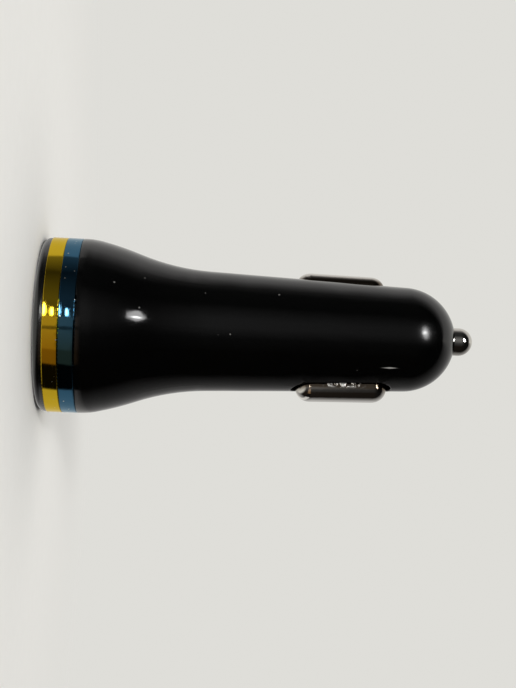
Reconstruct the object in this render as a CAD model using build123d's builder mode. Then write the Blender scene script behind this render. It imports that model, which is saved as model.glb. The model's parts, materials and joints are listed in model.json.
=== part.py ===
from build123d import *

import os
from math import cos, hypot, radians, sin, sqrt

os.makedirs("parts", exist_ok=True)

# Sizes are in millimetres and degrees. The plug stands on the face with the two
# sockets, because it would roll on its side. Distances along it are measured
# from that face, towards the tip.

# Moulded housing: flare, tapered barrel and round nose
body_length = 76.9
flare_radius = 16.1
flare_land = 0.75
flare_round = 12.0
crest_angle = 12.6
crest_round = 58.0
cone_angle = 20.0
barrel_angle = 2.0
nose_radius = 9.9
nose_flat = 3.1
wall = 1.6
nose_wall = 2.6
mouth_wall = 1.3
edge_round = 0.25

# End cap and the two trim rings
rim_depth = 1.65
rim_edge = 0.3
rim_step = 0.15
gold_width = 2.72
blue_width = 2.72
ring_wall = 1.5
ring_edge = 0.15
ring_gap = 0.05
skirt_wall = 1.2
skirt_depth = 5.0
skirt_gap = 0.1
lug_height = 0.4
lug_width = 3.0
lug_length = 1.0
lug_setback = 1.0
lug_gap = 0.15
lug_count = 4
lug_turn = 45.0

# Tip pin, its coil spring and the plate that the spring stands on
tip_radius = 2.65
tip_reach = 4.1
tip_gap = 0.1
tip_travel = 2.5
tip_flange = 1.0
tip_flange_lap = 0.95
tip_stub = 1.5
tip_wire = 0.5
tip_turns = 4.0
spring_reserve = 2.5
spring_play = 0.2
terminal_sheet = 0.5
terminal_margin = 0.8
terminal_tab = 3.0

# Side contacts: pressed blades in slots of the barrel
blade_setback = 21.3
blade_length = 17.0
blade_width = 5.8
blade_stand = 2.15
blade_lean = 1.2
blade_corner = 2.8
blade_round = 2.4
blade_sheet = 0.45
blade_travel = 1.9
blade_sit_in = 0.45
slot_end_gap = 0.9
slot_side_gap = 0.4
slot_round = 0.2
blade_lip = 1.1
stop_gap = 0.3
leaf_sheet = 0.3
leaf_lap = 0.4
leaf_foot = 9.0
leaf_bend = 1.2
leaf_gap = 0.1
travel_gap = 0.35

# Circuit board and the rails that hold it
board_thick = 1.2
board_edge_gap = 0.4
board_face_gap = 0.1
neck_gap = 0.8
rail_lap = 0.9
rail_thick = 0.9
rail_length = 20.0
rail_gap = 0.6

# Two sockets, one on each side of the board
usb_width = 12.5
usb_height = 5.12
usb_corner = 0.5
usb_sheet = 0.3
usb_depth = 14.0
usb_recess = 0.4
usb_window_gap = 0.15
window_chamfer = 0.25
finger_width = 2.0
finger_length = 5.0
finger_cut = 0.4
finger_pitch = 6.4
finger_setback = 3.0
tongue_width = 11.1
tongue_thick = 1.84
tongue_setback = 1.2
tongue_wall_gap = 0.9
base_depth = 4.5
base_gap = 0.05
pin_width = 1.0
pin_sheet = 0.2
pin_gap = 0.05
pin_bend = 0.3
pin_setback = 0.8
pin_foot = 1.0
inner_pin = 1.0
outer_pin = 3.5

# Parts of the converter on the board
part_gap = 1.6
core_radius = 4.0
core_waist = 2.2
core_height = 5.6
core_flange = 1.0
coil_radius = 3.6
coil_gap = 0.05
can_radius = 3.15
can_length = 11.0
small_can_radius = 2.5
small_can_length = 9.0
can_edge = 0.5
can_crimp = 0.35
can_crimp_setback = 1.8
can_lift = 0.05
lead_radius = 0.3
lead_pitch = 2.5
lead_reach = 1.4
chip_length = 4.9
chip_width = 3.9
chip_height = 1.5
chip_lift = 0.1
chip_edge = 0.3
leg_count = 4
leg_pitch = 1.27
leg_width = 0.4
leg_sheet = 0.2
leg_reach = 1.0
diode_length = 4.3
diode_width = 2.6
diode_height = 2.2
diode_taper = 5.0
small_length = 3.2
small_width = 1.6
small_height = 0.6
tall_height = 1.2
small_pitch = 2.6

# Places along the plug
shoulder = rim_depth + gold_width + blue_width
flare_start = shoulder + flare_land
nose_middle = body_length - sqrt(nose_radius**2 - nose_flat**2)
nose_floor = body_length - nose_wall
tip_end = body_length + tip_reach
blade_middle = body_length - blade_setback
tip_flange_back = nose_floor - tip_flange
tip_spring_length = tip_travel + tip_turns * tip_wire + spring_reserve
terminal_face = tip_flange_back - tip_spring_length
board_end = terminal_face - terminal_sheet
slot_length = blade_length + 2 * slot_end_gap
lip_length = slot_length + 2 * blade_lip
neck_start = blade_middle - lip_length / 2 - neck_gap
rail_end = neck_start - rail_gap
rail_start = rail_end - rail_length
usb_back = usb_recess + usb_depth

# Working planes: plug lies on the face and looks along the axis, lengthwise
# holds the axis and both contacts, upright stands across the board
middle = Vector(0, 0, 0)
nose_way = Vector(0, 0, 1)
contact_way = Vector(1, 0, 0)
plug = Plane(origin=middle, x_dir=contact_way, z_dir=nose_way)
lengthwise = Plane(origin=middle, x_dir=nose_way, z_dir=plug.y_dir)
upright = Plane(origin=middle, x_dir=nose_way, z_dir=-plug.x_dir)
spin = Axis(middle, nose_way)


def beside(side, distance):
    """Plane that looks sideways out of the barrel, with its X along the axis."""
    return Plane(middle + plug.x_dir * side * distance, x_dir=nose_way, z_dir=plug.x_dir * side)


# Round of the neck: it leaves the steepest point of the flare and runs into the barrel's taper
crest = radians(crest_angle)
cone = radians(cone_angle)
draft = radians(barrel_angle)
steep_along = flare_start + flare_round * sin(crest) + crest_round * (sin(cone) - sin(crest))
steep_radius = flare_radius - flare_round * (1 - cos(crest)) - crest_round * (cos(crest) - cos(cone))
barrel_reach = nose_middle * sin(draft) + nose_radius
steep_reach = steep_along * sin(draft) + steep_radius * cos(draft)
neck_round = (steep_reach - barrel_reach) / (1 - cos(cone - draft))


def barrel_radius(along, inset=0.0):
    """Radius of the tapered barrel, or of the same taper moved inwards."""
    return (barrel_reach - inset - along * sin(draft)) / cos(draft)


def nose_joint(inset):
    """Point where the barrel's taper runs into the round of the nose."""
    return (nose_middle + (nose_radius - inset) * sin(draft), (nose_radius - inset) * cos(draft))


def skin_line(inset, end, end_radius):
    """Flare, neck, barrel and nose of the housing's section, or the same line moved inwards."""
    flare = JernArc((flare_start, flare_radius - inset), (1, 0), flare_round - inset, -crest_angle)
    slope = JernArc(flare @ 1, flare % 1, crest_round - inset, crest_angle - cone_angle)
    neck = JernArc(slope @ 1, slope % 1, neck_round + inset, cone_angle - barrel_angle)
    barrel = Line(neck @ 1, nose_joint(inset))
    return TangentArc(barrel @ 1, (end, end_radius), tangent=barrel % 1)


def on_outside(edge):
    """True for an edge that lies in the outer skin of the barrel, not in its hollow."""
    place = plug.to_local_coords(edge.center(CenterOf.GEOMETRY))
    return hypot(place.X, place.Y) > barrel_radius(place.Z) - wall / 2


# Radii that fit together
rim_radius = flare_radius - rim_step
rim_round = rim_depth - rim_edge
spigot_radius = flare_radius - ring_wall - ring_gap
bore_radius = spigot_radius - mouth_wall
skirt_radius = bore_radius - skirt_gap
tip_hole = tip_radius + tip_gap
tip_flange_radius = tip_hole + tip_flange_lap
slot_width = blade_width + 2 * slot_side_gap
lip_end = blade_middle + lip_length / 2
blade_seat = sqrt(barrel_radius(lip_end, wall)**2 - (blade_width / 2)**2) - stop_gap
blade_out = barrel_radius(blade_middle) + blade_stand
board_half = barrel_radius(rail_end, wall) - board_edge_gap
leaf_width = blade_width - 2 * blade_round + 2 * leaf_lap
neck_half = blade_seat - blade_sheet - blade_travel - travel_gap - leaf_sheet
board_face = board_thick / 2
usb_middle = board_face + usb_sheet + usb_height / 2

# Hollow of the housing, with the board's rails left standing in it
with BuildPart() as hollow:
    with BuildSketch(lengthwise):
        with BuildLine():
            floor_radius = sqrt((nose_radius - wall)**2 - (nose_floor - nose_middle)**2)
            dome = skin_line(wall, nose_floor, floor_radius)
            Polyline(
                dome @ 1,
                (nose_floor, 0),
                (rim_depth, 0),
                (rim_depth, flare_radius - wall),
                (flare_start, flare_radius - wall),
            )
        make_face()
        with Locations((rim_depth, 0)):
            Rectangle(nose_floor - rim_depth, bore_radius, align=(Align.MIN, Align.MIN), mode=Mode.INTERSECT)
    revolve(axis=spin)
    with BuildSketch(plug.offset(rail_start)):
        rail_inside = board_half - rail_lap
        rail_deep = flare_radius - rail_inside
        rail_level = board_face + board_face_gap + rail_thick / 2
        with GridLocations(2 * rail_inside + rail_deep, 2 * rail_level, 2, 2):
            Rectangle(rail_deep, rail_thick)
    extrude(amount=rail_length, mode=Mode.SUBTRACT)

with BuildPart() as housing:
    with BuildSketch(lengthwise):
        with BuildLine():
            nose = skin_line(0, body_length, nose_flat)
            Polyline(nose @ 1, (body_length, 0), (shoulder, 0))
            FilletPolyline(
                (shoulder, 0),
                (shoulder, flare_radius),
                (flare_start, flare_radius),
                radius=edge_round,
            )
        make_face()
        with Locations((rim_depth, 0)):
            Rectangle(shoulder - rim_depth, spigot_radius, align=(Align.MIN, Align.MIN))
    revolve(axis=spin)
    add(hollow.part, mode=Mode.SUBTRACT)
    # Hole for the tip and slots for the side contacts
    with BuildSketch(plug.offset(body_length)):
        Circle(tip_hole)
    extrude(amount=-nose_wall - tip_flange, mode=Mode.SUBTRACT)
    for side in (1, -1):
        with BuildSketch(beside(side, 0)):
            with Locations((blade_middle, 0)):
                RectangleRounded(slot_length, slot_width, blade_corner + slot_side_gap)
        extrude(amount=flare_radius, mode=Mode.SUBTRACT)
        slot_rim = housing.edges(Select.LAST).filter_by(on_outside)
        fillet(slot_rim, radius=slot_round)
    # Groove in the mouth for the lugs of the end cap
    with BuildSketch(plug.offset(rim_depth + skirt_depth - lug_setback - lug_length - lug_gap)):
        Circle(bore_radius + lug_height)
    extrude(amount=lug_length + 2 * lug_gap, mode=Mode.SUBTRACT)
housing.part.label = "housing"
export_step(housing.part, "parts/housing.step")

# End cap with a rounded rim, a skirt that enters the mouth and two windows
with BuildPart() as faceplate:
    with BuildSketch(plug):
        Circle(rim_radius)
    extrude(amount=rim_depth)
    fillet(faceplate.edges().filter_by(GeomType.CIRCLE).sort_by(spin)[0], radius=rim_round)
    with BuildSketch(plug.offset(rim_depth)):
        Circle(skirt_radius)
        Circle(skirt_radius - skirt_wall, mode=Mode.SUBTRACT)
    extrude(amount=skirt_depth)
    with BuildSketch(plug.offset(rim_depth + skirt_depth - lug_setback - lug_length)):
        lug_deep = skirt_wall / 2 + lug_height
        with PolarLocations(skirt_radius - skirt_wall / 2 + lug_deep / 2, lug_count, start_angle=lug_turn):
            Rectangle(lug_deep, lug_width)
    extrude(amount=lug_length)
    with BuildSketch(plug):
        window_width = usb_width + 2 * (usb_sheet + usb_window_gap)
        window_height = usb_height + 2 * (usb_sheet + usb_window_gap)
        with GridLocations(1, 2 * usb_middle, 1, 2):
            RectangleRounded(window_width, window_height, usb_corner + usb_sheet + usb_window_gap)
    extrude(amount=rim_depth, mode=Mode.SUBTRACT)
    front = faceplate.faces().filter_by(GeomType.PLANE).sort_by(spin)[0]
    chamfer(front.inner_wires().edges(), length=window_chamfer)
faceplate.part.label = "faceplate"
export_step(faceplate.part, "parts/faceplate.step")


def trim_ring(start, width):
    """Metallised ring that slips over the spigot of the housing."""
    with BuildPart() as ring:
        with BuildSketch(plug.offset(start)):
            Circle(flare_radius)
            Circle(spigot_radius + ring_gap, mode=Mode.SUBTRACT)
        extrude(amount=width)
        fillet(ring.edges().filter_by(GeomType.CIRCLE).group_by(SortBy.RADIUS)[-1], radius=ring_edge)
    return ring.part


gold_ring = trim_ring(rim_depth, gold_width)
gold_ring.label = "gold_ring"
export_step(gold_ring, "parts/gold_ring.step")

blue_ring = trim_ring(rim_depth + gold_width, blue_width)
blue_ring.label = "blue_ring"
export_step(blue_ring, "parts/blue_ring.step")

# Board: full width between the rails, narrow between the side contacts
with BuildPart() as circuit_board:
    with BuildSketch(lengthwise.offset(-board_face)):
        with Locations((rim_depth, 0)):
            Rectangle(neck_start - rim_depth, 2 * board_half, align=(Align.MIN, Align.CENTER))
            Rectangle(board_end - rim_depth, 2 * neck_half, align=(Align.MIN, Align.CENTER))
    extrude(amount=board_thick)
circuit_board.part.label = "circuit_board"
export_step(circuit_board.part, "parts/circuit_board.step")


def usb_shell(side):
    """Folded steel shell of a socket, with spring fingers cut in its wide walls."""
    with BuildPart() as shell:
        with BuildSketch(plug.offset(usb_recess)):
            with Locations((0, side * usb_middle)):
                RectangleRounded(usb_width + 2 * usb_sheet, usb_height + 2 * usb_sheet, usb_corner + usb_sheet)
                RectangleRounded(usb_width, usb_height, usb_corner, mode=Mode.SUBTRACT)
        extrude(amount=usb_depth)
        with BuildSketch(lengthwise.offset(side * usb_middle)):
            with Locations((usb_recess + finger_setback, 0)):
                with GridLocations(1, finger_pitch, 1, 2):
                    Rectangle(
                        finger_length + finger_cut,
                        finger_width + 2 * finger_cut,
                        align=(Align.MIN, Align.CENTER),
                    )
                    with Locations((finger_cut, 0)):
                        Rectangle(finger_length, finger_width, align=(Align.MIN, Align.CENTER), mode=Mode.SUBTRACT)
        extrude(amount=usb_height, both=True, mode=Mode.SUBTRACT)
    return shell.part


contact_level = usb_middle + usb_height / 2 - tongue_wall_gap - tongue_thick
tongue_front = usb_recess + tongue_setback
pin_places = [-outer_pin, -inner_pin, inner_pin, outer_pin]


def usb_tongue(side):
    """Insulator: a block that fills the back of the shell and a flat tongue with its contacts facing the board."""
    with BuildPart() as tongue:
        with BuildSketch(plug.offset(usb_back - base_depth)):
            with Locations((0, side * usb_middle)):
                RectangleRounded(usb_width - 2 * base_gap, usb_height - 2 * base_gap, usb_corner)
        extrude(amount=base_depth)
        with BuildSketch(plug.offset(tongue_front)):
            with Locations((0, side * (contact_level + tongue_thick / 2))):
                Rectangle(tongue_width, tongue_thick)
        extrude(amount=usb_back - base_depth - tongue_front)
        with BuildSketch(plug.offset(usb_back - base_depth)):
            with Locations([(place, side * (contact_level - pin_sheet / 2)) for place in pin_places]):
                Rectangle(pin_width + 2 * pin_gap, pin_sheet + 2 * pin_gap)
        extrude(amount=base_depth, mode=Mode.SUBTRACT)
    return tongue.part


def usb_pins(side):
    """Four contact strips that run under the tongue, through its block and down to the board."""
    strip_level = contact_level - pin_sheet / 2
    foot_level = board_face + pin_sheet / 2
    drop = usb_back + pin_bend + pin_sheet
    with BuildPart() as pins:
        for place in pin_places:
            with BuildSketch(upright.offset(place)):
                with BuildLine():
                    FilletPolyline(
                        (tongue_front + pin_setback, side * strip_level),
                        (drop, side * strip_level),
                        (drop, side * foot_level),
                        (drop + pin_foot, side * foot_level),
                        radius=pin_bend,
                    )
                trace(line_width=pin_sheet)
            extrude(amount=pin_width / 2, both=True)
    return pins.part


for name, side in (("lower", 1), ("upper", -1)):
    shell = usb_shell(side)
    shell.label = f"{name}_usb_shell"
    export_step(shell, f"parts/{name}_usb_shell.step")
    tongue = usb_tongue(side)
    tongue.label = f"{name}_usb_tongue"
    export_step(tongue, f"parts/{name}_usb_tongue.step")
    pins = usb_pins(side)
    pins.label = f"{name}_usb_pins"
    export_step(pins, f"parts/{name}_usb_pins.step")

# Choke: a drum core and its winding, on the underside of the board
choke_place = usb_back + pin_bend + pin_sheet + pin_foot + part_gap + core_radius
coil_height = core_height - 2 * core_flange
with BuildPart() as inductor_core:
    with BuildSketch(lengthwise.offset(board_face)):
        with Locations((choke_place, 0)):
            Circle(core_radius)
    extrude(amount=core_height)
    with BuildSketch(lengthwise.offset(board_face + core_flange)):
        with Locations((choke_place, 0)):
            Circle(core_radius)
            Circle(core_waist, mode=Mode.SUBTRACT)
    extrude(amount=coil_height, mode=Mode.SUBTRACT)
inductor_core.part.label = "inductor_core"
export_step(inductor_core.part, "parts/inductor_core.step")

with BuildPart() as inductor_winding:
    with BuildSketch(lengthwise.offset(board_face + core_flange + coil_gap)):
        with Locations((choke_place, 0)):
            Circle(coil_radius)
            Circle(core_waist + coil_gap, mode=Mode.SUBTRACT)
    extrude(amount=coil_height - 2 * coil_gap)
inductor_winding.part.label = "inductor_winding"
export_step(inductor_winding.part, "parts/inductor_winding.step")


def capacitor(side, start, radius, length):
    """Electrolytic can lying on the board, crimped at its seal, with two bent leads."""
    level = board_face + can_lift + radius
    can_axis = Axis(middle + plug.y_dir * side * level, nose_way)
    with BuildPart() as can:
        with BuildSketch(Plane(can_axis.position, x_dir=nose_way, z_dir=plug.y_dir)):
            with BuildLine():
                Polyline((start, 0), (start, radius), (start + length, radius), (start + length, 0), close=True)
            make_face()
            crimp_place = (start + length - can_crimp_setback, radius)
            with Locations(crimp_place):
                Circle(can_crimp, mode=Mode.SUBTRACT)
        revolve(axis=can_axis)
        rims = can.edges().filter_by(GeomType.CIRCLE).group_by(SortBy.RADIUS)[-1].sort_by(spin)
        fillet([rims[0], rims[-1]], radius=can_edge)
        for place in (-lead_pitch / 2, lead_pitch / 2):
            with BuildLine(upright.offset(-place)) as lead:
                FilletPolyline(
                    (start + length, side * level),
                    (start + length + lead_reach, side * level),
                    (start + length + lead_reach, side * board_face),
                    radius=2 * lead_radius,
                )
            with BuildSketch(Plane(lead.line @ 0, z_dir=lead.line % 0)):
                Circle(lead_radius)
            sweep(path=lead.line)
    return can.part


input_capacitor = capacitor(1, choke_place + core_radius + part_gap, can_radius, can_length)
input_capacitor.label = "input_capacitor"
export_step(input_capacitor, "parts/input_capacitor.step")

# Chip, diode and small parts on the upper side of the board
chip_place = usb_back + pin_bend + pin_sheet + pin_foot + part_gap + chip_length / 2
diode_place = chip_place + chip_length / 2 + part_gap + diode_width / 2
small_can_start = diode_place + diode_width / 2 + part_gap
output_capacitor = capacitor(-1, small_can_start, small_can_radius, small_can_length)
output_capacitor.label = "output_capacitor"
export_step(output_capacitor, "parts/output_capacitor.step")

upper_side = lengthwise.offset(-board_face)
with BuildPart() as controller_chip:
    with BuildSketch(upper_side.offset(-chip_lift)):
        with Locations((chip_place, 0)):
            Rectangle(chip_length, chip_width)
    extrude(amount=-chip_height)
    top = controller_chip.faces().sort_by(Axis(middle, plug.y_dir))[0]
    chamfer(top.edges(), length=chip_edge)
controller_chip.part.label = "controller_chip"
export_step(controller_chip.part, "parts/controller_chip.step")

with BuildPart() as chip_legs:
    leg_level = -board_face - leg_sheet / 2
    knee_level = -board_face - chip_lift - chip_height / 2
    for side in (1, -1):
        for count in range(leg_count):
            along = chip_place + (count - (leg_count - 1) / 2) * leg_pitch
            with BuildSketch(plug.offset(along)):
                with BuildLine():
                    FilletPolyline(
                        (side * chip_width / 2, knee_level),
                        (side * (chip_width + leg_reach) / 2, knee_level),
                        (side * (chip_width + leg_reach) / 2, leg_level),
                        (side * (chip_width / 2 + leg_reach), leg_level),
                        radius=leg_sheet,
                    )
                trace(line_width=leg_sheet)
            extrude(amount=leg_width / 2, both=True)
chip_legs.part.label = "chip_legs"
export_step(chip_legs.part, "parts/chip_legs.step")

with BuildPart() as rectifier_diode:
    with BuildSketch(upper_side):
        with Locations((diode_place, 0)):
            Rectangle(diode_width, diode_length)
    extrude(amount=-diode_height, taper=diode_taper)
rectifier_diode.part.label = "rectifier_diode"
export_step(rectifier_diode.part, "parts/rectifier_diode.step")

small_row = chip_place + chip_length / 2 + part_gap
small_side = (board_half + chip_width / 2 + leg_reach) / 2
with BuildPart() as chip_resistors:
    with BuildSketch(upper_side):
        with Locations((small_row, small_side)):
            with GridLocations(small_pitch, 1, 3, 1):
                Rectangle(small_width, small_length)
    extrude(amount=-small_height)
chip_resistors.part.label = "chip_resistors"
export_step(chip_resistors.part, "parts/chip_resistors.step")

with BuildPart() as chip_capacitors:
    with BuildSketch(upper_side):
        with Locations((small_row, -small_side)):
            with GridLocations(small_pitch, 1, 3, 1):
                Rectangle(small_width, small_length)
    extrude(amount=-tall_height)
chip_capacitors.part.label = "chip_capacitors"
export_step(chip_capacitors.part, "parts/chip_capacitors.step")

# Domed tip pin with a flange that stops it inside the nose
with BuildPart() as tip_contact:
    with BuildSketch(lengthwise):
        with BuildLine():
            stub_radius = tip_radius - tip_wire
            dome_start = (tip_end - tip_radius, tip_radius)
            Polyline(
                (tip_flange_back - tip_stub, 0),
                (tip_flange_back - tip_stub, stub_radius),
                (tip_flange_back, stub_radius),
                (tip_flange_back, tip_flange_radius),
                (nose_floor, tip_flange_radius),
                (nose_floor, tip_radius),
                dome_start,
            )
            TangentArc(dome_start, (tip_end, 0), tangent=(1, 0))
            Line((tip_end, 0), (tip_flange_back - tip_stub, 0))
        make_face()
    revolve(axis=spin)
tip_contact.part.label = "tip_contact"
export_step(tip_contact.part, "parts/tip_contact.step")

with BuildPart() as tip_spring:
    coil_middle = tip_radius - tip_wire / 2 + spring_play
    coil_rise = tip_spring_length - tip_wire
    coil_foot = plug.offset(terminal_face + tip_wire / 2).origin
    with BuildLine() as coil:
        Helix(coil_rise / tip_turns, coil_rise, coil_middle, center=coil_foot, direction=nose_way)
    with BuildSketch(Plane(coil.line @ 0, z_dir=coil.line % 0)):
        Circle(tip_wire / 2)
    sweep(path=coil.line, is_frenet=True)
tip_spring.part.label = "tip_spring"
export_step(tip_spring.part, "parts/tip_spring.step")

# Plate on the end of the board, with a tab soldered to its upper side
with BuildPart() as tip_terminal:
    plate_half = coil_middle + tip_wire / 2 + terminal_margin
    with BuildSketch(plug.offset(board_end)):
        Rectangle(2 * plate_half, 2 * plate_half)
    extrude(amount=terminal_sheet)
    with BuildSketch(upper_side):
        with Locations((board_end, 0)):
            Rectangle(terminal_tab, plate_half, align=(Align.MAX, Align.CENTER))
    extrude(amount=-terminal_sheet)
tip_terminal.part.label = "tip_terminal"
export_step(tip_terminal.part, "parts/tip_terminal.step")


def blade_block(side, low, inset):
    """Block with a rounded outline under the leaning crown of a blade, or the smaller block of its hollow."""
    turn = radians(blade_lean)
    across = plug.x_dir * side
    crown_plane = Plane(
        middle + across * (low + blade_out - blade_seat) + nose_way * blade_middle,
        x_dir=nose_way * cos(turn) - across * sin(turn),
        z_dir=across * cos(turn) + nose_way * sin(turn),
    )
    with BuildPart() as block:
        with BuildSketch(beside(side, low - blade_sheet)):
            with Locations((blade_middle, 0)):
                RectangleRounded(blade_length - 2 * inset, blade_width - 2 * inset, blade_corner - inset)
        extrude(amount=blade_out)
        split(bisect_by=crown_plane.offset(-inset), keep=Keep.BOTTOM)
        crown = block.faces().sort_by(Axis(middle, across))[-1]
        fillet(crown.edges(), radius=blade_round - inset)
    return block.part


def contact_blade(side, sit_in):
    """Pressed cup with a rounded edge that stands out of its slot, and a lip at each end that holds it in."""
    low = blade_seat - sit_in
    with BuildPart() as blade:
        add(blade_block(side, low, 0))
        with BuildSketch(beside(side, low - blade_sheet)):
            with Locations((blade_middle, 0)):
                Rectangle(lip_length, blade_width)
        extrude(amount=blade_sheet)
        add(blade_block(side, low, blade_sheet), mode=Mode.SUBTRACT)
    return blade.part


def leaf_spring(side, sit_in):
    """Bent leaf: a foot on the edge of the board, a round bend and an arm that bears on the blade."""
    foot_level = neck_half + leaf_sheet / 2
    roof = blade_out - sit_in - blade_sheet - leaf_gap - leaf_sheet / 2
    front = blade_middle - leaf_foot / 2
    back = blade_middle + leaf_foot / 2
    with BuildPart() as leaf:
        with BuildSketch(lengthwise):
            with BuildLine():
                FilletPolyline(
                    (front, side * foot_level),
                    (back + leaf_bend, side * foot_level),
                    (back + leaf_bend, side * (foot_level + 2 * leaf_bend)),
                    (blade_middle, side * roof),
                    (front, side * roof),
                    (front - leaf_bend, side * (roof - leaf_bend)),
                    radius=leaf_bend,
                )
            trace(line_width=leaf_sheet)
        extrude(amount=leaf_width / 2, both=True)
    return leaf.part


for name, side, sit_in in (("right", 1, 0.0), ("left", -1, blade_sit_in)):
    blade = contact_blade(side, sit_in)
    blade.label = f"{name}_contact"
    export_step(blade, f"parts/{name}_contact.step")
    leaf = leaf_spring(side, sit_in)
    leaf.label = f"{name}_leaf_spring"
    export_step(leaf, f"parts/{name}_leaf_spring.step")
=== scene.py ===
import json
from math import cos, pi, radians, sin, tan

import bmesh
import bpy
from mathutils import Matrix, Vector


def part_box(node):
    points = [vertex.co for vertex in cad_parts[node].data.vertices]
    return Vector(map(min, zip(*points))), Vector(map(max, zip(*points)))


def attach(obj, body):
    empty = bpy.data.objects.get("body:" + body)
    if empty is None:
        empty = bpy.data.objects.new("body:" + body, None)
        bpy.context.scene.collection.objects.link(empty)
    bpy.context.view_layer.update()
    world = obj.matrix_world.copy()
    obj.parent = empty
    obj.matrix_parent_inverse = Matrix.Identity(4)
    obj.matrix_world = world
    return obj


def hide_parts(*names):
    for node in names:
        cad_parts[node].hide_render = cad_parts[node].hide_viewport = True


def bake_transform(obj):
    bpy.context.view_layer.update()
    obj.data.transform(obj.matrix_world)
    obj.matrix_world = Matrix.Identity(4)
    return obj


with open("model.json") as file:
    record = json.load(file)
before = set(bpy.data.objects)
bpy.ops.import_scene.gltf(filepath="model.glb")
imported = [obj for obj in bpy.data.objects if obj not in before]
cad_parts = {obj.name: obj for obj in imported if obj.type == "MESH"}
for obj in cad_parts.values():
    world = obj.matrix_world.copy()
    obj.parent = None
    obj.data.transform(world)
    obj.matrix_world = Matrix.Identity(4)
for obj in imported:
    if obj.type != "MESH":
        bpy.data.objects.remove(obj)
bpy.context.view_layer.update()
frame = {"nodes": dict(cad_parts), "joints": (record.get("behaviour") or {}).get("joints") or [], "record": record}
scene = bpy.context.scene
scene.view_settings.view_transform = "Standard"

# Directions of the plug, read from its joints: towards the tip and towards the right contact
joints = {joint["name"]: joint for joint in frame["joints"]}
nose_way = -Vector(joints["tip_press"]["axis"])
contact_way = -Vector(joints["right_press"]["axis"])
board_way = nose_way.cross(contact_way)


def on_plug(towards_contact, towards_board, towards_nose):
    """Point from its places in the plug's own directions, in millimetres."""
    return (contact_way * towards_contact + board_way * towards_board + nose_way * towards_nose) / 1000.0


# Node helpers

def feed(tree, socket, value):
    """Links a socket to another one, or sets its number or colour."""
    if isinstance(value, bpy.types.NodeSocket):
        tree.links.new(value, socket)
    else:
        socket.default_value = value


def add(tree, kind, inputs=None, **settings):
    """Adds a node, sets what it does and fills its inputs by name or number."""
    made = tree.nodes.new("ShaderNode" + kind)
    for name, value in settings.items():
        setattr(made, name, value)
    for key, value in (inputs or {}).items():
        feed(tree, made.inputs[key], value)
    return made


def worked_out(tree, operation, first, second=0.0):
    """Number worked out from one or two others."""
    return add(tree, "Math", {0: first, 1: second}, operation=operation).outputs["Value"]


def sum_of(tree, first, second):
    """Two numbers added."""
    return worked_out(tree, "ADD", first, second)


def product_of(tree, first, second):
    """Two numbers multiplied."""
    return worked_out(tree, "MULTIPLY", first, second)


def larger_of(tree, first, second):
    """The larger of two numbers."""
    return worked_out(tree, "MAXIMUM", first, second)


def with_share(tree, base, pattern, amount):
    """A number with a pattern added in a given amount."""
    return sum_of(tree, base, product_of(tree, pattern, amount))


def span(tree, value, low, high, to_low, to_high):
    """Maps a value from one range to another, clamped."""
    inputs = {"Value": value, "From Min": low, "From Max": high, "To Min": to_low, "To Max": to_high}
    return add(tree, "MapRange", inputs).outputs["Result"]


def rise(tree, value, low, high):
    """Goes from none to all while a value goes from low to high."""
    return span(tree, value, low, high, 0.0, 1.0)


def fall(tree, value, low, high):
    """Goes from all to none while a value goes from low to high."""
    return span(tree, value, low, high, 1.0, 0.0)


def colour(red, green, blue):
    """Colour that nothing shines through."""
    return (red, green, blue, 1.0)


def blend(tree, amount, first, second):
    """Mix of two colours."""
    mix = add(tree, "Mix", {0: amount, 6: first, 7: second}, data_type="RGBA")
    return mix.outputs[2]


def part_along(tree, vector, way):
    """Length of a vector along a direction."""
    return add(tree, "VectorMath", {0: vector, 1: way}, operation="DOT_PRODUCT").outputs["Value"]


def share_along(tree, vector, way):
    """Length of a vector along a direction, counted without its sign."""
    return worked_out(tree, "ABSOLUTE", part_along(tree, vector, way))


# Patterns on the plug

EVEN = (1.0, 1.0, 1.0)


def place(tree, stretch=EVEN):
    """Position on the plug in metres, stretched per axis."""
    coords = add(tree, "TexCoord")
    return add(tree, "Mapping", {"Vector": coords.outputs["Object"], "Scale": stretch}).outputs["Vector"]


def offset_from(tree, point):
    """Way from a given point to the place on the plug."""
    return add(tree, "VectorMath", {0: place(tree), 1: point}, operation="SUBTRACT").outputs["Vector"]


def grain(tree, scale, detail=2.0, rough=0.5, stretch=EVEN):
    """Cloudy pattern, scale in cycles per metre."""
    inputs = {"Vector": place(tree, stretch), "Scale": scale, "Detail": detail, "Roughness": rough}
    return add(tree, "TexNoise", inputs).outputs["Fac"]


def specks(tree, scale, size, share):
    """Small scattered dots: cells per metre, size as a part of a cell, share of cells that hold one."""
    cells = add(tree, "TexVoronoi", {"Vector": place(tree), "Scale": scale, "Randomness": 1.0})
    dot = fall(tree, cells.outputs["Distance"], size * 0.6, size)
    pick = add(tree, "SeparateColor", {"Color": cells.outputs["Color"]}).outputs["Red"]
    return product_of(tree, dot, rise(tree, pick, 1.0 - share, 1.0 - share + 0.01))


def spot_mark(tree, middle, size):
    """Round mark about a given point, size in metres."""
    distance = add(tree, "VectorMath", {0: place(tree), 1: middle}, operation="DISTANCE").outputs["Value"]
    return fall(tree, distance, size * 0.5, size)


def line_mark(tree, middle, half_length, half_width):
    """Thin mark along the plug about a given point, running out to both ends."""
    offset = offset_from(tree, middle)
    sideways = nose_way.cross(middle).normalized()
    lengthways = share_along(tree, offset, nose_way / half_length)
    edgeways = share_along(tree, offset, sideways / half_width)
    line = fall(tree, sum_of(tree, lengthways, edgeways), 0.3, 1.0)
    on_this_side = spot_mark(tree, middle, half_length * 2.5)
    return product_of(tree, line, on_this_side)


def relief(tree, height, strength, depth):
    """Bump from a height pattern, depth in metres."""
    return add(tree, "Bump", {"Height": height, "Strength": strength, "Distance": depth}).outputs["Normal"]


# Finishes, named as the slots of the record

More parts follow.
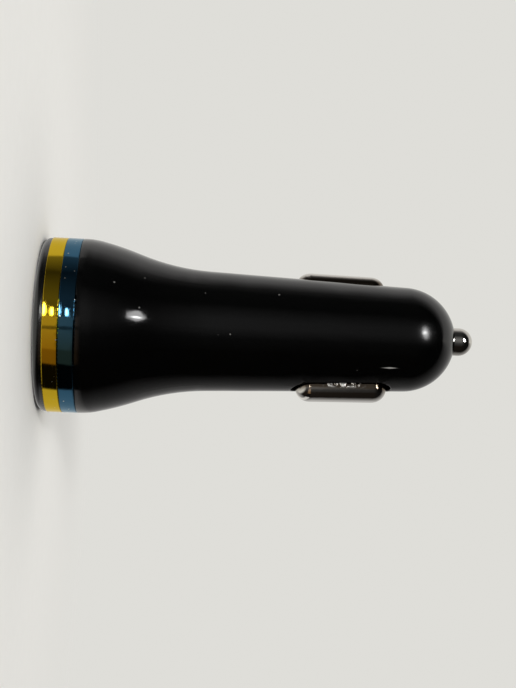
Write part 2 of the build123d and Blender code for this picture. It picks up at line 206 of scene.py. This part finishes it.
def new_finish(name, metallic=0.0):
    """New material with its tree and its main shader."""
    finish = bpy.data.materials.new(name)
    finish.use_nodes = True
    shader = finish.node_tree.nodes["Principled BSDF"]
    shader.inputs["Metallic"].default_value = metallic
    return finish, finish.node_tree, shader


def dress(tree, shader, tone, rough, bumps):
    """Gives a shader its colour, roughness and relief."""
    feed(tree, shader.inputs["Base Color"], tone)
    feed(tree, shader.inputs["Roughness"], rough)
    feed(tree, shader.inputs["Normal"], bumps)


# Specks of dust on the near side of the housing, each with its size in metres
dust_specks = (
    (on_plug(-3.95, -14.52, 13.47), 0.00021),
    (on_plug(-4.64, -9.70, 42.80), 0.00022),
    (on_plug(0.16, -13.59, 17.96), 0.00017),
    (on_plug(3.39, -10.52, 34.06), 0.00018),
    (on_plug(-4.06, -10.50, 29.46), 0.00013),
    (on_plug(-5.81, -12.03, 18.65), 0.00013),
)
pale_streak_middle = on_plug(7.41, -6.77, 63.49)
rubbed_middle = on_plug(1.4, -9.5, 70.0)
glints_middle = on_plug(10.4, -2.9, 55.2)


def black_gloss():
    """Polished black moulding with haze, fine scratches and dust, a thin pale streak near the nose, rubbed at the
    nose.
    """
    finish, tree, shader = new_finish("black_gloss")
    haze = grain(tree, 90.0, 4.0, 0.6)
    scratches = rise(tree, grain(tree, 60.0, 3.0, 0.7, (14.0, 14.0, 1.0)), 0.66, 0.74)
    dust = specks(tree, 230.0, 0.036, 0.35)
    for middle, size in dust_specks:
        dust = larger_of(tree, dust, spot_mark(tree, middle, size))
    # A thin pale streak painted near the nose
    pale_streak = line_mark(tree, pale_streak_middle, 0.0019, 0.00022)
    marks = larger_of(tree, dust, pale_streak)
    rubbed = spot_mark(tree, rubbed_middle, 0.0042)
    tone = blend(tree, haze, colour(0.0006, 0.0007, 0.0007), colour(0.0013, 0.0014, 0.0014))
    tone = blend(tree, dust, tone, colour(0.16, 0.157, 0.148))
    tone = blend(tree, pale_streak, tone, colour(0.55, 0.54, 0.52))
    rough = span(tree, haze, 0.35, 0.7, 0.035, 0.075)
    rough = with_share(tree, rough, scratches, 0.08)
    rough = with_share(tree, rough, rubbed, 0.13)
    rough = with_share(tree, rough, marks, 0.5)
    height = with_share(tree, grain(tree, 700.0, 2.0), marks, 3.0)
    dress(tree, shader, tone, rough, relief(tree, height, 0.06, 0.00004))
    shader.inputs["IOR"].default_value = 1.47
    return finish


def black_cap():
    """Black end cap, a little duller than the housing, with a fine moulded skin."""
    finish, tree, shader = new_finish("black_cap")
    cloud = grain(tree, 160.0, 3.0, 0.6)
    skin = grain(tree, 2600.0, 3.0)
    tone = blend(tree, cloud, colour(0.0014, 0.0014, 0.0015), colour(0.0030, 0.0029, 0.0028))
    rough = span(tree, cloud, 0.3, 0.7, 0.2, 0.3)
    dress(tree, shader, tone, rough, relief(tree, skin, 0.08, 0.00003))
    shader.inputs["Specular IOR Level"].default_value = 0.8
    return finish


def metal_film(name, ring, deep, light, rim):
    """Metallised ring: mirror film with turning lines and tiny nicks, rolling off a little to the face."""
    finish, tree, shader = new_finish(name, metallic=1.0)
    low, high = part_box(ring)
    half_width = (high - low).dot(nose_way) / 2
    to_face = share_along(tree, offset_from(tree, high), nose_way / half_width)
    roll_off = product_of(tree, to_face, to_face)
    cloud = grain(tree, 240.0, 3.0)
    lines = grain(tree, 120.0, 2.0, 0.6, (1.0, 1.0, 26.0))
    nicks = specks(tree, 1300.0, 0.22, 0.10)
    tone = blend(tree, cloud, deep, light)
    tone = blend(tree, nicks, tone, colour(0.75, 0.74, 0.68))
    rough = span(tree, lines, 0.3, 0.7, 0.04, 0.09)
    rough = with_share(tree, rough, nicks, 0.3)
    height = with_share(tree, grain(tree, 520.0, 2.0), lines, 0.35)
    height = with_share(tree, height, nicks, 0.6)
    height = with_share(tree, height, roll_off, -3.0)
    dress(tree, shader, tone, rough, relief(tree, height, 0.16, 0.00005))
    shader.inputs["Specular Tint"].default_value = rim
    return finish


def nickel():
    """Nickel plate with small dents; by its slot a blade has a painted dark brown reflection and glints with
    painted highlight, and its crown is lighter, partly rubbing wear and partly painted highlight.
    """
    finish, tree, shader = new_finish("nickel", metallic=1.0)
    cloud = grain(tree, 420.0, 4.0, 0.65)
    dents = grain(tree, 1500.0, 2.0, 0.6)
    # Outwards from the plug's axis: painted dark brown reflection on a blade's sides from 9 to 11.2 mm, past it a
    # crown lighter from rubbing wear and painted highlight
    outwards = share_along(tree, place(tree), contact_way)
    painted_brown_reflection = product_of(tree, rise(tree, outwards, 0.0090, 0.0095), fall(tree, outwards, 0.0104, 0.0112))
    rubbed = rise(tree, outwards, 0.0112, 0.0120)
    glints = product_of(tree, rise(tree, dents, 0.50, 0.60), fall(tree, outwards, 0.0101, 0.0107))
    glints = product_of(tree, glints, spot_mark(tree, glints_middle, 0.0048))
    tone = blend(tree, cloud, colour(0.60, 0.575, 0.53), colour(0.78, 0.755, 0.71))
    # Painted reflection: a blade's sides darkened to brown by its slot
    tone = blend(tree, painted_brown_reflection, tone, colour(0.17, 0.135, 0.10))
    # Painted highlight: the crown, partly also rubbing wear, and the glints are made lighter
    tone = blend(tree, larger_of(tree, rubbed, glints), tone, colour(0.93, 0.91, 0.87))
    rough = span(tree, cloud, 0.35, 0.75, 0.05, 0.11)
    rough = with_share(tree, rough, glints, 0.34)
    height = with_share(tree, with_share(tree, cloud, dents, 0.5), glints, 1.2)
    dress(tree, shader, tone, rough, relief(tree, height, 0.4, 0.00006))
    return finish


def bare_metal(name, deep, light, least_rough, most_rough, stretch):
    """Rolled or drawn metal with fine lines along its working direction."""
    finish, tree, shader = new_finish(name, metallic=1.0)
    lines = grain(tree, 300.0, 3.0, 0.65, stretch)
    cloud = grain(tree, 500.0, 3.0)
    tone = blend(tree, cloud, colour(*deep), colour(*light))
    rough = span(tree, lines, 0.3, 0.7, least_rough, most_rough)
    dress(tree, shader, tone, rough, relief(tree, lines, 0.12, 0.00003))
    return finish


def moulded(name, deep, light, least_rough, most_rough, scale):
    """Matt moulding or ceramic with a fine grained skin."""
    finish, tree, shader = new_finish(name)
    cloud = grain(tree, scale, 4.0, 0.6)
    skin = grain(tree, 3600.0, 3.0)
    tone = blend(tree, cloud, colour(*deep), colour(*light))
    rough = span(tree, cloud, 0.3, 0.7, least_rough, most_rough)
    dress(tree, shader, tone, rough, relief(tree, skin, 0.15, 0.00003))
    return finish


def board():
    """Green solder mask over a glass weave, with paler tracks under it."""
    finish, tree, shader = new_finish("board")
    tracks = add(tree, "TexBrick", {"Vector": place(tree), "Scale": 240.0, "Mortar Size": 0.03})
    weave = add(tree, "TexWave", {"Vector": place(tree), "Scale": 500.0, "Distortion": 1.0}).outputs["Fac"]
    mask = span(tree, tracks.outputs["Fac"], 0.0, 1.0, 0.0, 0.6)
    tone = blend(tree, mask, colour(0.012, 0.12, 0.045), colour(0.035, 0.22, 0.09))
    rough = span(tree, weave, 0.0, 1.0, 0.28, 0.4)
    dress(tree, shader, tone, rough, relief(tree, weave, 0.1, 0.00002))
    return finish


def copper():
    """Enamelled copper wire, wound side by side round the choke."""
    finish, tree, shader = new_finish("copper", metallic=1.0)
    winding = {"Vector": place(tree), "Scale": 420.0, "Distortion": 0.2}
    turns = add(tree, "TexWave", winding, bands_direction="Y").outputs["Fac"]
    shade = rise(tree, turns, 0.0, 0.5)
    tone = blend(tree, shade, colour(0.10, 0.03, 0.012), colour(0.55, 0.21, 0.08))
    rough = span(tree, grain(tree, 900.0), 0.3, 0.7, 0.22, 0.34)
    dress(tree, shader, tone, rough, relief(tree, turns, 0.6, 0.0001))
    return finish


finishes = {
    "black_gloss": black_gloss(),
    "black_cap": black_cap(),
    "gold_trim": metal_film(
        "gold_trim", "gold_ring",
        deep=colour(0.68, 0.45, 0.018), light=colour(0.78, 0.54, 0.03), rim=colour(1.0, 0.93, 0.6)),
    "blue_trim": metal_film(
        "blue_trim", "blue_ring",
        deep=colour(0.034, 0.115, 0.195), light=colour(0.052, 0.145, 0.235), rim=colour(0.8, 0.93, 1.0)),
    "nickel": nickel(),
    "board": board(),
    "copper": copper(),
}

# Each metal's deeper and lighter tone, least and most roughness, and how its working lines are stretched
bare_metals = {
    "socket_steel": ((0.50, 0.49, 0.47), (0.64, 0.63, 0.61), 0.2, 0.34, (20.0, 20.0, 1.0)),
    "socket_pins": ((0.70, 0.50, 0.18), (0.84, 0.64, 0.28), 0.14, 0.26, (24.0, 24.0, 1.0)),
    "tinned": ((0.50, 0.50, 0.50), (0.68, 0.68, 0.67), 0.25, 0.4, EVEN),
    "spring_steel": ((0.34, 0.34, 0.35), (0.50, 0.50, 0.51), 0.2, 0.34, (22.0, 1.0, 1.0)),
    "terminal": ((0.56, 0.41, 0.17), (0.74, 0.56, 0.27), 0.2, 0.36, (1.0, 18.0, 1.0)),
    "can": ((0.52, 0.52, 0.53), (0.66, 0.66, 0.67), 0.24, 0.36, (20.0, 20.0, 1.0)),
}
for name, looks in bare_metals.items():
    finishes[name] = bare_metal(name, *looks)

# Each moulding's deeper and lighter tone, least and most roughness, and its cloud in cycles per metre
mouldings = {
    "socket_insulator": ((0.70, 0.69, 0.65), (0.80, 0.79, 0.76), 0.38, 0.5, 300.0),
    "ferrite": ((0.028, 0.028, 0.030), (0.055, 0.055, 0.058), 0.5, 0.7, 900.0),
    "chip": ((0.014, 0.014, 0.014), (0.026, 0.026, 0.026), 0.45, 0.6, 1200.0),
    "chip_tan": ((0.34, 0.26, 0.16), (0.48, 0.39, 0.26), 0.35, 0.5, 800.0),
}
for name, looks in mouldings.items():
    finishes[name] = moulded(name, *looks)

slot_of = {row["node"]: row["material_slot"] for row in frame["record"]["subparts"]}
for name, solid in frame["nodes"].items():
    solid.data.materials.clear()
    solid.data.materials.append(finishes[slot_of[name]])


# Pieces that stand for solids with rounded faces

MERGE_WITHIN = 0.000002
NO_LENGTH = 0.000001
CREASE = radians(32.0)


def smooth_piece(name, node, body):
    """A solid's form with its triangles joined and its rounded faces shaded smoothly."""
    form = bmesh.new()
    form.from_mesh(frame["nodes"][node].data)
    bmesh.ops.remove_doubles(form, verts=form.verts, dist=MERGE_WITHIN)
    bmesh.ops.dissolve_degenerate(form, edges=form.edges, dist=NO_LENGTH)
    for face in form.faces:
        face.smooth = True
    for edge in form.edges:
        edge.smooth = edge.calc_face_angle(0.0) < CREASE
    mesh = bpy.data.meshes.new(name)
    form.to_mesh(mesh)
    form.free()
    mesh.materials.append(finishes[slot_of[node]])
    piece = bpy.data.objects.new(name, mesh)
    scene.collection.objects.link(piece)
    evened = piece.modifiers.new("even shading", "WEIGHTED_NORMAL")
    evened.keep_sharp = True
    if body:
        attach(piece, body)
    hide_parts(node)
    return piece


smooth_piece("housing_shell", "housing", "body")
smooth_piece("end_cap", "faceplate", "body")
smooth_piece("gold_band", "gold_ring", "body")
smooth_piece("blue_band", "blue_ring", "body")
smooth_piece("right_blade_press", "right_contact", "right_blade")
smooth_piece("left_blade_press", "left_contact", "left_blade")
smooth_piece("tip_pin", "tip_contact", "tip")


def spring_piece(name, node):
    """A spring's form with its triangles joined and shaded smoothly, baked in place and held by no body."""
    spring = smooth_piece(name, node, None)
    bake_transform(spring)


spring_piece("tip_coil", "tip_spring")
spring_piece("right_leaf", "right_leaf_spring")
spring_piece("left_leaf", "left_leaf_spring")


# Floor: pale and plain; far from the plug it runs out into the backdrop's tone

FLOOR_HALF = 3.0
PAPER_ENDS = (0.05, 0.13)
backdrop_tone = colour(0.737, 0.729, 0.693)


def pale_paper():
    """Mottled paper that gives way to the backdrop's tone where a camera or a mirror sees it far off."""
    finish, tree, shader = new_finish("pale_paper")
    mottle = grain(tree, 340.0, 4.0, 0.6)
    tone = blend(tree, mottle, colour(0.79, 0.78, 0.745), colour(0.83, 0.82, 0.785))
    feed(tree, shader.inputs["Base Color"], tone)
    shader.inputs["Roughness"].default_value = 0.75
    shader.inputs["Specular IOR Level"].default_value = 0.2
    glow = add(tree, "Emission", {"Color": backdrop_tone, "Strength": 1.0})
    coords = add(tree, "TexCoord")
    reach = add(tree, "VectorMath", {0: coords.outputs["Object"]}, operation="LENGTH").outputs["Value"]
    rays = add(tree, "LightPath").outputs
    seen = larger_of(tree, rays["Is Camera Ray"], rays["Is Glossy Ray"])
    seen = larger_of(tree, seen, rays["Is Transmission Ray"])
    far = product_of(tree, rise(tree, reach, *PAPER_ENDS), seen)
    joined = add(tree, "MixShader", {0: far, 1: shader.outputs["BSDF"], 2: glow.outputs["Emission"]})
    feed(tree, tree.nodes["Material Output"].inputs["Surface"], joined.outputs["Shader"])
    return finish


slab = bmesh.new()
bmesh.ops.create_grid(slab, x_segments=2, y_segments=2, size=FLOOR_HALF)
floor_mesh = bpy.data.meshes.new("floor")
slab.to_mesh(floor_mesh)
slab.free()
floor_mesh.materials.append(pale_paper())
floor = bpy.data.objects.new("floor", floor_mesh)
scene.collection.objects.link(floor)
# Mirrors show the room's pale tone in place of the floor
floor.visible_glossy = False


# Camera: at the plug's side, turned so that the nose points to the right of the picture

PICTURE_HIGH = 688.0
FOCAL_PIXELS = 1034.0
SENSOR_HIGH = 36.0
turn_to_contact = radians(15.5)
tip_away = radians(4.98)
picture_turn = radians(2.42)
face_in_view = Vector((-0.04185, 0.00375, -0.19075))
face_shift = 0.0021


def standing(point, rightward, upward, backward):
    """Place and turn of a camera or lamp that looks away from its backward direction."""
    return Matrix.Translation(point) @ Matrix((rightward, upward, backward)).transposed().to_4x4()


back = -sin(tip_away) * cos(picture_turn) * nose_way
side_share = (1.0 - back.length_squared) ** 0.5
back = back + side_share * (sin(turn_to_contact) * contact_way - cos(turn_to_contact) * board_way)
along = (nose_way - nose_way.dot(back) * back).normalized()
across = back.cross(along)
right = cos(picture_turn) * along + sin(picture_turn) * across
up = back.cross(right)
ring_low, ring_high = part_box("gold_ring")
ring_middle = (ring_low + ring_high) / 2
face_middle = ring_middle - (ring_low.z + ring_high.z) / 2 * nose_way
eye = face_middle - face_shift * nose_way
eye = eye - right * face_in_view.x - up * face_in_view.y - back * face_in_view.z
lens = bpy.data.cameras.new("camera")
lens.sensor_fit = "VERTICAL"
lens.sensor_height = SENSOR_HIGH
lens.lens = SENSOR_HIGH * FOCAL_PIXELS / PICTURE_HIGH
lens.clip_start = 0.01
camera = bpy.data.objects.new("camera", lens)
camera.matrix_world = standing(eye, right, up, back)
scene.collection.objects.link(camera)
scene.camera = camera


# Lamps: a ceiling lamp with a bright middle, and a wide soft one over the nose that leaves no mirror image

lamp_aim = face_middle + nose_way * 0.035


def from_camera(towards_nose, towards_top):
    """Direction by its angles from the camera's line towards the nose and towards the picture's top."""
    return along * tan(radians(towards_nose)) + across * tan(radians(towards_top)) + back


def soft_lamp(name, way, distance, wide, high, level):
    """Soft oval lamp facing the plug, its width towards the nose, its level as a mirror shows it."""
    light = bpy.data.lights.new(name, "AREA")
    light.shape = "ELLIPSE"
    light.size = wide
    light.size_y = high
    area = wide * high * pi / 4
    light.energy = level * pi * area
    lamp = bpy.data.objects.new(name, light)
    outward = way.normalized()
    upward = (across - across.dot(outward) * outward).normalized()
    lamp.matrix_world = standing(lamp_aim + outward * distance, upward.cross(outward), upward, outward)
    scene.collection.objects.link(lamp)
    return lamp


soft_lamp("ceiling_lamp", from_camera(46.2, 20.0), 0.9, 0.21, 0.37, 9.5)
soft_lamp("ceiling_bulb", from_camera(44.7, 20.2), 0.85, 0.135, 0.075, 40.0)
soft_lamp("ceiling_glow", from_camera(49.5, 20.6), 0.95, 0.32, 0.50, 0.5)
soft_lamp("wide_lamp", nose_way - 0.2 * back, 1.2, 1.2, 1.2, 2.5).visible_glossy = False


# World: pale behind the plug, as the paper is, and a dim room on the camera's side

pane_light = colour(26.0, 26.0, 25.0)
dark_room = colour(0.006, 0.006, 0.006)
world = bpy.data.worlds.new("room")
scene.world = world
world.use_nodes = True
sky = world.node_tree
surface = sky.nodes["Background"]
outlook = add(sky, "TexCoord").outputs["Generated"]
# Where a mirrored line goes: towards the camera, down the picture, along the plug and round it
depth = part_along(sky, outlook, back)
drop = part_along(sky, outlook, -across)
lengthwise = part_along(sky, outlook, nose_way)
turn = rise(sky, worked_out(sky, "ARCTAN2", drop, depth), -pi, pi)


def turn_share(degrees):
    """Angle from the camera's line, down the picture, as a share of the whole turn."""
    return (degrees + 180) / 360


def room_tones(*things):
    """What stands round the plug: each thing's angle down the picture, its level and its warmth."""
    ramp = add(sky, "ValToRGB", {"Fac": turn})
    stops = ramp.color_ramp.elements
    stops[0].color = backdrop_tone
    stops[1].color = backdrop_tone
    stops[1].position = 1.0
    for degrees, level, warmth in things:
        stop = stops.new(turn_share(degrees))
        stop.color = colour(level, level * (1.0 - 0.45 * warmth), level * (1.0 - 0.8 * warmth))
    return ramp.outputs["Color"]


def lit_pane(under, along_plug, degrees, half_long, half_high):
    """Adds a lit oval pane of the ceiling by its place along the plug and its angle down the picture."""
    long_way = worked_out(sky, "SUBTRACT", lengthwise, along_plug)
    high_way = worked_out(sky, "SUBTRACT", turn, turn_share(degrees))
    long_share = product_of(sky, long_way, 1.0 / half_long)
    high_share = product_of(sky, high_way, 360.0 / half_high)
    reach = sum_of(sky, product_of(sky, long_share, long_share), product_of(sky, high_share, high_share))
    return blend(sky, fall(sky, reach, 0.3, 1.0), under, pane_light)


beside_rings = room_tones(
    # Far edge of the pale floor, the dim wall past it
    (-101, 0.62, 0.05), (-97.5, 0.18, 0.0), (-70, 0.03, 0.0), (-33, 0.10, 0.0),
    # Dim ceiling, lighter near the camera
    (-13, 0.09, 0.0), (-9, 0.42, 0.3), (2, 0.40, 0.3),
    # Thin dark line, then the warm side of the room
    (3, 0.12, 0.3), (5.5, 0.12, 0.3), (7, 0.36, 0.45), (31, 0.30, 0.7), (33, 0.20, 0.85), (51, 0.18, 0.85),
    # Dark side of the room, near edge of the floor
    (53, 0.004, 0.0), (91, 0.004, 0.0), (94, 0.52, 0.05),
)
beside_barrel = room_tones(
    # Far edge of the pale floor, the dim wall past it
    (-120, 0.64, 0.05), (-98, 0.13, 0.05), (-84, 0.04, 0.0), (-54, 0.03, 0.0),
    # Dim middle of the ceiling
    (-24, 0.25, 0.0), (-9, 0.25, 0.0), (12, 0.06, 0.0),
    # Dark side of the room, the floor in the plug's own shade
    (40, 0.014, 0.5), (91, 0.008, 0.5), (109, 0.15, 0.05), (150, 0.42, 0.05),
)
# The rings mirror a narrow part of the room with two lit panes in it, the barrel and the flare the rest
at_rings = product_of(sky, rise(sky, lengthwise, -0.38, -0.28), fall(sky, lengthwise, -0.08, 0.0))
room = blend(sky, at_rings, beside_barrel, beside_rings)
room = lit_pane(room, -0.235, -18, 0.028, 9)
room = lit_pane(room, -0.135, -16, 0.018, 6)
# Dark over the nose on the camera's side, pale under the face
overhead = product_of(sky, rise(sky, lengthwise, 0.08, 0.75), rise(sky, depth, -0.05, 0.05))
room = blend(sky, overhead, room, dark_room)
below = sum_of(sky, lengthwise, share_along(sky, outlook, 0.3 * across))
room = blend(sky, fall(sky, below, -0.74, -0.56), room, backdrop_tone)
rays = add(sky, "LightPath").outputs
feed(sky, surface.inputs["Color"], blend(sky, rays["Is Camera Ray"], room, backdrop_tone))
surface.inputs["Strength"].default_value = 1.0
